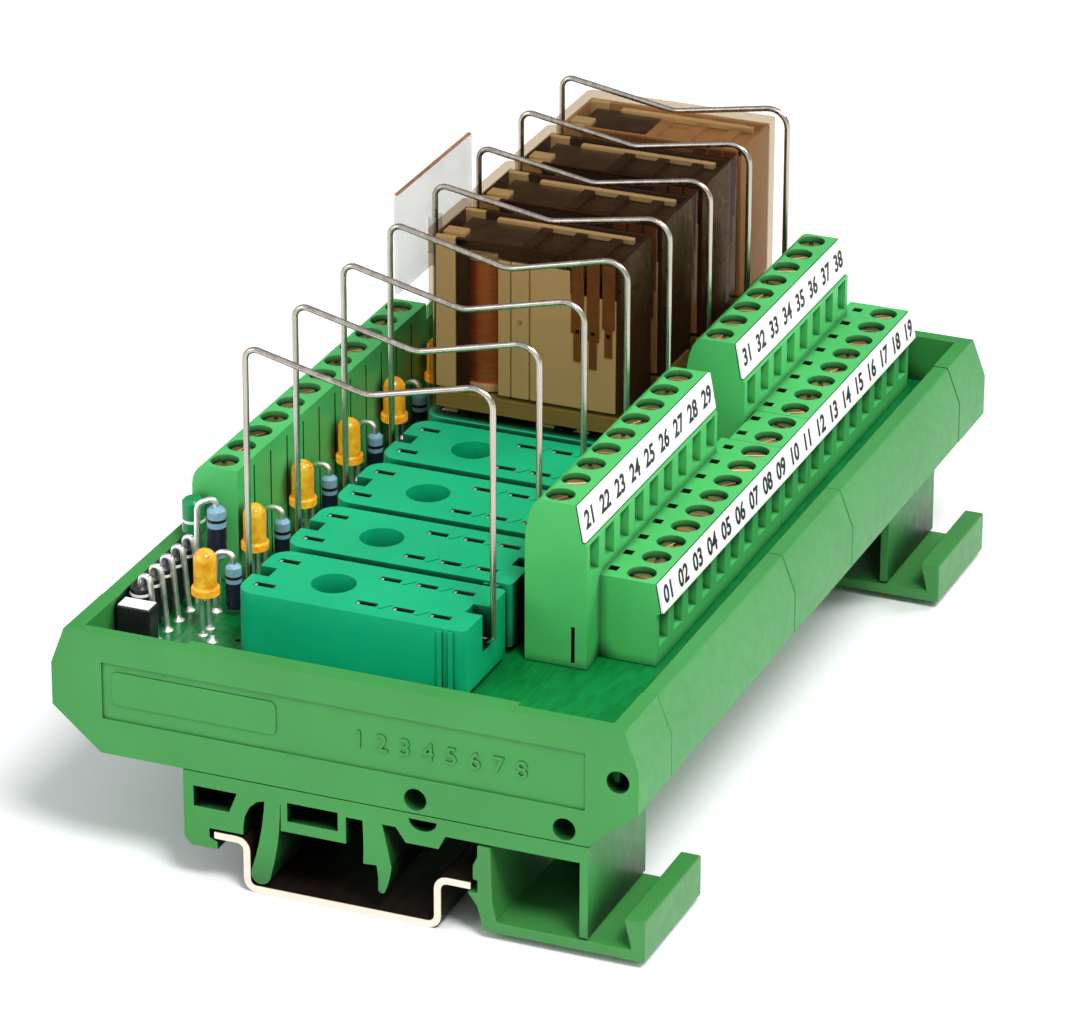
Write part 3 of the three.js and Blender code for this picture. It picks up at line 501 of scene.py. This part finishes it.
# Lit and shaded copies of one carrier colour: relays 5 to 7 take the dark copy as painted shade, relay 8 at
# the end the light copy as painted light.
SHADED_CARRIER_BROWN = plastic("brown carrier", (0.045, 0.024, 0.014), rough=0.3, spread=0.4)
LIT_CARRIER_BROWN = plastic("light brown carrier", (0.60, 0.42, 0.28), rough=0.35, spread=0.12)
OLIVE = plastic("olive base", (0.42, 0.40, 0.18), rough=0.4)
BLACK = plastic("black moulding", (0.012, 0.012, 0.013), rough=0.28, spread=0.3)
WHITE = plastic("white label", (0.86, 0.87, 0.84), rough=0.5, spread=0.03)
INK = plastic("black ink", (0.015, 0.015, 0.017), rough=0.6, spread=0.3)
PALE_BLUE = plastic("pale blue paint", (0.22, 0.42, 0.55), rough=0.25)
DARK_BLUE = plastic("dark blue band", (0.010, 0.016, 0.035), rough=0.3, spread=0.3)
GREEN_PAINT = plastic("green paint", (0.01, 0.25, 0.07), rough=0.12, spread=0.15)
SMOKED = see_through("smoked cover", (0.80, 0.72, 0.61), (0.03, 0.018, 0.012), 0.05, 0.3)
CLEAR = see_through("clear sheet", (0.90, 0.90, 0.88), (0.55, 0.55, 0.52), 0.22, 0.6)
LENS = lens_with_painted_glow()


# ----------------------------------------------------------------------------------------------------------
# Tray, board, feet and rail
# ----------------------------------------------------------------------------------------------------------

def show_tray():
    for part in ("side_element_front", "side_element_rear"):
        show(part, 0.3, HOUSING, 3)
    for part in ("base_element_front", "base_element_middle", "base_element_rear"):
        show(part, 0.25, HOUSING)
    for end in ("front", "rear"):
        show("rail_foot_" + end, 0.2, FOOT)
        show("foot_latch_" + end, 0.25, LATCH, 3)
    show("circuit_board", 0.15, BOARD)
    show("mounting_rail", 0.12, RAIL)


def add_panel_marks():
    """Raised marks in the front panel: a blank name plate at the left and place numbers at the right."""
    face = Extent("side_element_front").y0 + PANEL_SINK
    corner = PLATE_CORNER
    quarter = [math.radians(30 * i) for i in range(4)]
    outline = []
    for x, z, start in (
        (PLATE_RIGHT - corner, PLATE_HIGH - corner, 0),
        (PLATE_LEFT + corner, PLATE_HIGH - corner, math.pi / 2),
        (PLATE_LEFT + corner, PLATE_LOW + corner, math.pi),
        (PLATE_RIGHT - corner, PLATE_LOW + corner, math.pi * 1.5),
    ):
        outline += [(x + corner * math.cos(start + a), z + corner * math.sin(start + a)) for a in quarter]
    plate = Shape().prism(outline, face - 0.16, face + 0.05)
    add_piece("name_plate", plate, 0.06, "module", HOUSING)
    marks = []
    for number in RELAY_PLACES:
        centre = (-0.6 + PLACE_MARK_PITCH * number, face - 0.05, 24.2)
        marks.append(("%d" % number, centre, (1, 0, 0), (0, 0, 1)))
    finished(lettering("place_marks", marks, 2.4, 0.26), "module", HOUSING)


# ----------------------------------------------------------------------------------------------------------
# Relay places
# ----------------------------------------------------------------------------------------------------------

def show_socket(number):
    """The socket, with two contact leaves in every slot, painted near-black as shade, a tin tip at each
    slot's left end as a painted glint, and small ribs on its top and its long faces.
    """
    socket = Extent("relay_socket_%d" % number)
    show("relay_socket_%d" % number, 0.2, SOCKET)
    leaves = Shape()
    glint_tips = Shape()
    ribs = Shape()
    for x in PIN_X:
        for row in (-PIN_ROW, PIN_ROW):
            y = socket.y + row
            for y0, y1 in ((y - 0.46, y - 0.27), (y + 0.27, y + 0.46)):
                # Painted shade: the leaves are near-black so that the slot looks dark.
                leaves.block(x - 1.34, x + 1.34, y0, y1, socket.z1 - 5.6, socket.z1 - 0.12)
            # Painted glint: a bright tin tip at the slot's left end.
            glint_tips.block(x - 1.36, x - 1.0, y - 0.24, y + 0.24, socket.z1 - 2, socket.z1 - 0.05)
    for x in (-0.1, 4.9):
        for y in (socket.y - PIN_ROW, socket.y + PIN_ROW):
            corners = [(x - 0.75, y - 0.7), (x - 0.35, y - 0.8), (x + 0.75, y + 0.7), (x + 0.35, y + 0.8)]
            ribs.prism(corners, socket.z1 - 0.1, socket.z1 + 0.14, "Z")
    for x in (8.2, 9.7):
        for y0, y1 in ((socket.y0 - 0.3, socket.y0 + 0.1), (socket.y1 - 0.1, socket.y1 + 0.3)):
            ribs.block(x, x + 0.7, y0, y1, socket.z0 + 1.6, socket.z1 - 0.3)
    add_piece("contact_leaves_%d" % number, leaves, 0.06, "module", SHADED_CONTACT_METAL)
    add_piece("contact_glint_tips_%d" % number, glint_tips, 0.06, "module", TIN)
    add_piece("socket_ribs_%d" % number, ribs, 0.06, "module", SOCKET)


def add_clip(number):
    """A clip of round wire in place of the faceted one."""
    node = "retaining_clip_%d" % number
    clip = Extent(node)
    left, right = clip.x0 + CLIP_WIRE_RADIUS, clip.x1 - CLIP_WIRE_RADIUS
    pivot, corner = clip.z0 + CLIP_WIRE_RADIUS, clip.z1 - 0.1
    dip = corner - (CLIP_DIP_ON_RELAY if number in PLUGGED_PLACES else CLIP_DIP)
    corners = [
        (left + CLIP_END, clip.y, pivot),
        (left, clip.y, pivot),
        (left, clip.y, corner),
        (clip.x, clip.y, dip),
        (right, clip.y, corner),
        (right, clip.y, pivot),
        (right - CLIP_END, clip.y, pivot),
    ]
    piece = wire("clip_wire_%d" % number, [rounded_route(corners, CLIP_BENDS)], CLIP_WIRE_RADIUS)
    finished(piece, "clip_%d" % number, SPRING_WIRE, [node])


def add_relay_coil(body, coil):
    """A bobbin of beige plastic, wound with copper wire in fine ridges."""
    bobbin = Shape()
    for z0, z1 in ((coil.z0, coil.z0 + 1), (coil.z1 - 1, coil.z1)):
        bobbin.post(BOBBIN_RADIUS, coil.x, coil.y, z0, z1, 40)
    bobbin.post(2, coil.x, coil.y, coil.z0 + 0.5, coil.z1 + 0.4)
    add_piece(body + "_bobbin", bobbin, 0.12, body, BEIGE, [body + "_coil"])
    pitch = (coil.z1 - coil.z0 - 2) / WINDING_TURNS
    start = coil.z0 + 1
    profile = [(2.1, start)]
    for turn in range(WINDING_TURNS):
        profile.append((WINDING_GROOVE, start + turn * pitch))
        profile.append((WINDING_CREST, start + (turn + 0.5) * pitch))
    profile += [(WINDING_GROOVE, coil.z1 - 1), (2.1, coil.z1 - 1)]
    winding = linked(body + "_winding", Shape().turned(profile, coil.x, coil.y, 40).mesh("winding"))
    winding.data.shade_smooth()
    finished(winding, body, WINDING, [body + "_coil"])


def add_relay_frame(body, cover, carrier):
    """The moulded frame behind each long face, the end panels and the top deck."""
    inner = cover.y1 - FRAME_GAP - cover.y
    front, back = cover.y - inner, cover.y + inner
    low, high = cover.z0 + RELAY_FLOOR, cover.z1 - 1
    left, right = cover.x0 + END_GAP, cover.x1 - END_GAP
    mouldings = Shape()
    for side in (-1, 1):
        y0, y1 = layer(cover.y, side, inner, inner - 0.9)
        mouldings.block(left, left + 3, y0, y1, low, high)
        for x0, x1 in ((CARRIER_LEFT, -7.5), (-7.3, -4.8), (-4.6, right - 0.7)):
            mouldings.block(x0, x1, y0, y1, low, high - 2.2)
        y0, y1 = layer(cover.y, side, inner - 0.9, inner - 1.3)
        mouldings.block(CARRIER_LEFT, right - 0.7, y0, y1, low, high - 2.4)
    # Two beige bars on the top deck: mouldings that also stand in for the light streaks the cover's top
    # reflects, as painted reflection.
    mouldings.block(-13, 6.5, cover.y + 3.3, cover.y + 4.3, high - 0.95, high - 0.15)
    mouldings.block(left + 0.3, left + 3.4, cover.y - 3.4, cover.y - 1.2, high - 0.9, high - 0.1)
    add_piece(body + "_frame", mouldings, 0.12, body, BEIGE, [body + "_contacts"])
    panels = Shape()
    panels.block(right - 0.6, right, front, back, low, high)
    panels.block(CARRIER_LEFT, right - 0.7, front, back, high - 1.9, high - 1)
    panels.block(left, left + 0.3, front, back, low, high)
    for side in (-1, 1):
        y0, y1 = layer(cover.y, side, inner, inner - 0.5)
        panels.block(left + 3, right, y0, y1, high - 1, high + 0.05)
    for side in (-1, 1):
        y0, y1 = layer(cover.y, side, inner, inner - 0.6)
        # Painted shade: this strip in front of the coil's left side stands in for the shade on that side of
        # the coil.
        panels.block(left + 3.1, left + 4.9, y0, y1, low, high)
        panels.block(1, 8, y0, y1, high - 5.5, high - 2)
    for x in (-6.5, -1.5, 3.5):
        panels.block(x, x + 1.6, front + 0.3, back - 0.3, high - 1.1, high - 0.3)
    add_piece(body + "_carrier", panels, 0.12, body, carrier, [body + "_contacts"])


def add_relay_contacts(body, cover):
    """Contact springs hanging in front of the frame on both sides, with their rivets."""
    inner = cover.y1 - SPRING_GAP - cover.y
    springs = Shape()
    rivets = Shape()
    for side in (-1, 1):
        y0, y1 = layer(cover.y, side, inner - 0.17, inner - 0.02)
        for x0, x1, foot in CONTACT_SPRINGS:
            springs.block(x0, x1, y0, y1, foot + 4, cover.z1 - 1.5)
            springs.block(x0 + 0.35, x1 - 0.35, y0, y1, foot, foot + 4.2)
        for x in RIVET_X:
            rivets.block(x - 0.3, x + 0.3, y0, y1, RIVET_LOW, RIVET_HIGH)
    replaced = [body + "_contacts"]
    add_piece(body + "_springs", springs, 0.05, body, SPRING_BRONZE, replaced)
    add_piece(body + "_rivets", rivets, 0.04, body, TIN, replaced)


def add_relay_armature(body, cover):
    """The steel yoke beside the coil, and the armature over the coil's core."""
    high = cover.z1 - 1.3
    steel = Shape()
    steel.block(-7.8, -6.6, cover.y - 4, cover.y + 4, cover.z0 + RELAY_FLOOR, high - 0.4)
    steel.block(-16.8, -6.7, cover.y - 3.9, cover.y + 3.9, high - 1.2, high - 0.3)
    add_piece(body + "_armature", steel, 0.15, body, STEEL, [body + "_contacts"])


def add_relay(number):
    body = "relay_%d" % number
    cover = Extent(body + "_cover")
    show(body + "_base", 0.15, OLIVE)
    show(body + "_cover", 0.3, SMOKED, 3)
    add_relay_coil(body, Extent(body + "_coil"))
    # Painted light: relay 8 gets the lit copy of the carrier colour, the others the shaded copy.
    add_relay_frame(body, cover, LIT_CARRIER_BROWN if number == 8 else SHADED_CARRIER_BROWN)
    add_relay_contacts(body, cover)
    add_relay_armature(body, cover)


def show_marker_sheet():
    """The clear sheet, with a brown strip along its upper edge."""
    sheet = Extent("marker_sheet")
    show("marker_sheet", 0.12, CLEAR)
    near, far = sheet.y0 + 0.2, sheet.y1 - 0.2
    strip = Shape().block(sheet.x0 + 0.05, sheet.x0 + 0.55, near, far, sheet.z1 - 0.1, sheet.z1 + 0.15)
    add_piece("marker_sheet_edge", strip, 0.06, "clip_5", SPRING_BRONZE)


# ----------------------------------------------------------------------------------------------------------
# Terminals
# ----------------------------------------------------------------------------------------------------------

class PoleRow:
    """A row of screw terminals: its first pole's near edge, its poles, and the X and top of its screws."""

    def __init__(self, name, y0, poles, x, top):
        self.name = name
        self.centres = [y0 + (pole + 0.5) * POLE for pole in range(poles)]
        self.x = x
        self.top = top


def pole_rows():
    front = Extent("terminal_block_front")
    middle = Extent("terminal_block_middle")
    rear = Extent("terminal_block_rear")
    left = Extent("terminal_block_left")
    return [
        PoleRow("tower_front", front.y0 - BLOCK_GAP, 9, TOWER_SCREW_X, front.z1),
        PoleRow("tower_rear", rear.y0 - BLOCK_GAP, 8, TOWER_SCREW_X, rear.z1),
        PoleRow("tier_front", front.y0 - BLOCK_GAP + TIER_OFFSET, 9, TIER_SCREW_X, middle.z1),
        PoleRow("tier_middle", middle.y0 - BLOCK_GAP, 2, TIER_SCREW_X, middle.z1),
        PoleRow("tier_rear", rear.y0 - BLOCK_GAP + TIER_OFFSET, 8, TIER_SCREW_X, middle.z1),
        PoleRow("left", left.y0, 12, (left.x0 + left.x1) / 2 + 0.3, left.z1),
    ]


def half_disc(x, y, turn, side, steps=12):
    """The outline of one half of a screw head, on one side of its slot."""
    lift = math.asin(SCREW_SLOT / 2 / SCREW_RADIUS)
    outline = []
    for i in range(steps + 1):
        angle = turn + side * (lift + (math.pi - 2 * lift) * i / steps)
        outline.append((x + SCREW_RADIUS * math.cos(angle), y + SCREW_RADIUS * math.sin(angle)))
    return outline


def add_screws(row, draw):
    """Slotted screw heads in the recesses of a row, each turned its own way."""
    heads = Shape()
    floor = row.top - SCREW_SINK
    for y in row.centres:
        turn = draw.uniform(0, math.pi)
        heads.post(SCREW_RADIUS + 0.05, row.x, y, floor, floor + 0.2, 28)
        for side in (-1, 1):
            heads.prism(half_disc(row.x, y, turn, side), floor + 0.15, floor + 0.5, "Z")
    add_piece("screws_" + row.name, heads, 0.08, "module", BRASS)


def add_labels():
    """The white strips with generic pole numbers."""
    strips = [
        ("label_strip_lower", 1, 19, 0.7),
        ("label_strip_upper_front", 21, 9, 0.9),
        ("label_strip_upper_rear", 31, 8, 0.9),
    ]
    for node, first, poles, lean in strips:
        strip = Extent(node)
        show(node, 0.1, WHITE)
        up = (-lean, 0, strip.z1 - strip.z0)
        out = Vector((strip.z1 - strip.z0, 0, lean)).normalized() * 0.01
        centre = Vector((strip.x1 - lean / 2, 0, (strip.z0 + strip.z1) / 2)) + out
        entries = []
        for pole in range(poles):
            at = (centre.x, strip.y0 + (pole + 0.5) * POLE, centre.z)
            entries.append(("%02d" % (first + pole), at, (0, 1, 0), up))
        finished(lettering("numbers_" + node, entries, 2.4, weight=0.09), "module", INK)


def add_terminals():
    draw = random.Random(7)
    for place in ("front", "middle", "rear", "left"):
        show("terminal_block_" + place, 0.2, TERMINAL)
    for row in pole_rows():
        add_screws(row, draw)
    add_labels()


# ----------------------------------------------------------------------------------------------------------
# Small parts on the board
# ----------------------------------------------------------------------------------------------------------

def add_light(number, top):
    """A yellow lens with its flange, and the two leads that reach up into it."""
    node = "status_light_%d" % number
    light = Extent(node)
    flange = (light.x1 - light.x0) / 2
    radius = flange - 0.35
    flange_z = light.z0 + LENS_LIFT
    shoulder = light.z1 - radius
    arc = [math.radians(90 * i / 10) for i in range(11)]
    profile = [(0, flange_z), (flange, flange_z), (flange, flange_z + 1), (radius, flange_z + 1.1)]
    profile += [(radius * math.cos(a), shoulder + radius * math.sin(a)) for a in arc[:-1]]
    profile.append((0, light.z1))
    lens = Shape().turned(profile, light.x, light.y, 36)
    add_piece("lens_%d" % number, lens, 0.12, "module", LENS, [node])
    leads = Shape()
    for y in (light.y - 1.27, light.y + 0.77):
        leads.block(light.x - 0.25, light.x + 0.25, y, y + 0.5, top, flange_z + 0.1)
    leads.block(light.x - 0.4, light.x + 0.4, light.y - 1, light.y - 0.2, flange_z + 1.3, flange_z + 3.6)
    leads.block(light.x - 0.4, light.x + 0.4, light.y + 0.2, light.y + 0.9, flange_z + 1.3, flange_z + 2.6)
    add_piece("light_leads_%d" % number, leads, 0.06, "module", TIN, [node])


def add_solder_joint(shape, x, y, top, radius=0.85, height=0.7):
    """Adds a cone of solder that stands on the board."""
    foot, tip = top - 0.02, top + height
    profile = [(0, foot), (radius, foot), (radius * 0.55, top + height * 0.4), (0.3, tip), (0, tip)]
    shape.turned(profile, x, y, 20)


def upright_part(name, x, y, z0, z1, radius, material, bands=()):
    """An upright cylinder with rounded ends and coloured bands. A band is a Z range and a material."""
    turn = radius * 0.3
    lower = [(0, z0), (radius - turn, z0), (radius, z0 + turn)]
    profile = lower + [(radius, z1 - turn), (radius - turn, z1), (0, z1)]
    part = Shape().turned(profile, x, y, 28)
    add_piece(name, part, 0.1, "module", material)
    inner, outer = radius - 0.1, radius + 0.04
    for i, (low, high, paint) in enumerate(bands):
        ring = Shape().turned([(inner, low), (outer, low), (outer, high), (inner, high)], x, y, 28)
        add_piece("%s_band_%d" % (name, i), ring, 0.03, "module", paint)


def add_diodes(top, leads, joints):
    """A row of upright diodes near the left corner."""
    x = DIODE_X
    for i, y in enumerate(DIODE_Y):
        bands = [(top + 5.6, top + 6, WHITE)]
        upright_part("diode_%d" % (i + 1), x, y, top + 0.5, top + 7, 1.4, BLACK, bands)
        end = (-31.5, y - 1, top)
        corners = [(x, y, top + 6.9), (x, y, top + 9.4), (-32.5, y - 0.4, top + 8), end]
        leads.append(rounded_route(corners, (0.9, 1.6), 6))
        add_solder_joint(joints, *end)


def add_resistors(top, leads, joints):
    """An upright resistor behind each status light that leaves room for one."""
    for number in RELAY_PLACES:
        light = Extent("status_light_%d" % number)
        x, y = light.x + 1.1, light.y + 6
        if y > 60:
            continue
        bands = [(top + 1, top + 4.6, DARK_BLUE), (top + 5.2, top + 5.6, BLACK)]
        upright_part("resistor_%d" % number, x, y, top + 0.6, top + 7, 1.05, PALE_BLUE, bands)
        end = (x - 2.6, y, top)
        corners = [(x, y, top + 6.9), (x, y, top + 8.6), (x - 2.4, y, top + 8.4), end]
        leads.append(rounded_route(corners, (0.9, 1.1), 6))
        add_solder_joint(joints, *end)
        add_solder_joint(joints, light.x + 1.9, light.y - 2.2, top)
        for dy in (-1.02, 1.02):
            add_solder_joint(joints, light.x, light.y + dy, top, 0.7, 0.5)


def add_tall_parts(top, leads):
    """A larger resistor and a capacitor, both standing high on their leads."""
    x, y = BIG_RESISTOR_AT
    bands = [(top + 7, top + 10.6, DARK_BLUE), (top + 11.4, top + 11.8, BLACK)]
    upright_part("resistor_large", x, y, top + 6, top + 13.2, 1.25, PALE_BLUE, bands)
    leads.append([(x, y, top + 6.1), (x, y, top)])
    corners = [(x, y, top + 13.1), (x, y, top + 14.6), (-31.2, -40.4, top + 14), (-31.4, -40.8, top)]
    leads.append(rounded_route(corners, (0.8, 1), 6))
    leads += [[(DIODE_X, y, top + 8), (DIODE_X, y, top)] for y in (-36.4, -35.2)]
    bands = [(top + 9.2, top + 9.6, WHITE)]
    upright_part("capacitor", DIODE_X, -35.8, top + 7.3, top + 12.4, 1.5, GREEN_PAINT, bands)


def add_small_parts(top):
    """Diodes, resistors, a capacitor and a rectifier, with their leads and solder joints."""
    leads = []
    joints = Shape()
    add_diodes(top, leads, joints)
    add_resistors(top, leads, joints)
    add_tall_parts(top, leads)
    finished(wire("component_leads", leads, LEAD_RADIUS), "module", TIN)
    add_piece("solder_joints", joints, 0.05, "module", SOLDER)
    rectifier = Shape().block(-35.3, -30.6, -56.2, -53.4, top, top + 5.8)
    add_piece("rectifier", rectifier, 0.3, "module", BLACK, segments=3)
    mark = Shape().block(-35.1, -30.8, -56.0, -53.6, top + 5.7, top + 5.9)
    add_piece("rectifier_mark", mark, 0.06, "module", WHITE)


def add_tracks(top):
    """Tracks under the solder mask: raised lines from the lights to the sockets and along the board."""
    tracks = Shape()
    for number in RELAY_PLACES:
        light = Extent("status_light_%d" % number)
        for shift in (-1, 1.2):
            y = light.y + shift
            tracks.block(light.x + 1, -20, y - 0.35, y + 0.35, top - 0.05, top + 0.05)
    for x in (-30.2, -29, -22.2):
        tracks.block(x, x + 0.8, -58, 60, top - 0.05, top + 0.05)
    add_piece("tracks", tracks, 0.03, "module", BOARD)


show_tray()
add_panel_marks()
for place_number in RELAY_PLACES:
    show_socket(place_number)
    add_clip(place_number)
for place_number in PLUGGED_PLACES:
    add_relay(place_number)
show_marker_sheet()
add_terminals()
board_top = Extent("circuit_board").z1
for place_number in RELAY_PLACES:
    add_light(place_number, board_top)
add_small_parts(board_top)
add_tracks(board_top)


# ----------------------------------------------------------------------------------------------------------
# Camera, light and floor
# ----------------------------------------------------------------------------------------------------------

def add_camera():
    data = bpy.data.cameras.new("camera")
    data.sensor_fit = "HORIZONTAL"
    data.sensor_width = 36
    data.lens = CAMERA_LENS
    data.clip_end = 10
    camera = linked("camera", data)
    aim = Euler((math.radians(90 - CAMERA_DOWN), 0, math.radians(CAMERA_TURN))).to_matrix()
    roll = Matrix.Rotation(math.radians(CAMERA_ROLL), 3, "Z")
    camera.matrix_world = Matrix.Translation(CAMERA_AT) @ (aim @ roll).to_4x4()
    bpy.context.scene.camera = camera


def add_lamp(name, at, size, power, color=(1, 1, 1)):
    data = bpy.data.lights.new(name, "AREA")
    data.shape = "DISK"
    data.size = size
    data.energy = power
    data.color = color
    lamp = linked(name, data)
    lamp.location = at
    lamp.rotation_euler = (-Vector(at)).to_track_quat("-Z", "Y").to_euler()


def add_world():
    """A pale room, darker behind the object."""
    world = bpy.data.worlds.new("studio")
    world.use_nodes = True
    tree = world.node_tree
    background = tree.nodes["Background"]
    background.inputs["Color"].default_value = (0.93, 0.96, 1, 1)
    split = tree.nodes.new("ShaderNodeSeparateXYZ")
    strength = tree.nodes.new("ShaderNodeMapRange")
    strength.inputs["From Min"].default_value = -0.4
    strength.inputs["From Max"].default_value = 0.8
    strength.inputs["To Min"].default_value = 0.75
    strength.inputs["To Max"].default_value = 0.25
    tree.links.new(tree.nodes.new("ShaderNodeTexCoord").outputs["Generated"], split.inputs["Vector"])
    tree.links.new(split.outputs["Y"], strength.inputs["Value"])
    tree.links.new(strength.outputs["Result"], background.inputs["Strength"])
    bpy.context.scene.world = world


def add_studio():
    add_world()
    add_lamp("key", (0.45, -0.45, 0.95), 0.35, 10)
    add_lamp("fill", (-0.7, -0.6, 0.5), 0.6, 3)
    add_lamp("rim", (0.6, 0.5, 0.7), 0.5, 5)
    bpy.context.scene.view_settings.view_transform = "Standard"
    floor = linked("floor", Shape().block(-2000, 2000, -2000, 2000, -2, 0).mesh("floor"))
    surface = Surface("pale floor")
    surface.colour(surface.noise(8), (0.89, 0.89, 0.89), (0.91, 0.91, 0.91))
    surface.roughness(surface.noise(60), 0.6, 0.7)
    floor.data.materials.append(surface.material)


add_camera()
add_studio()
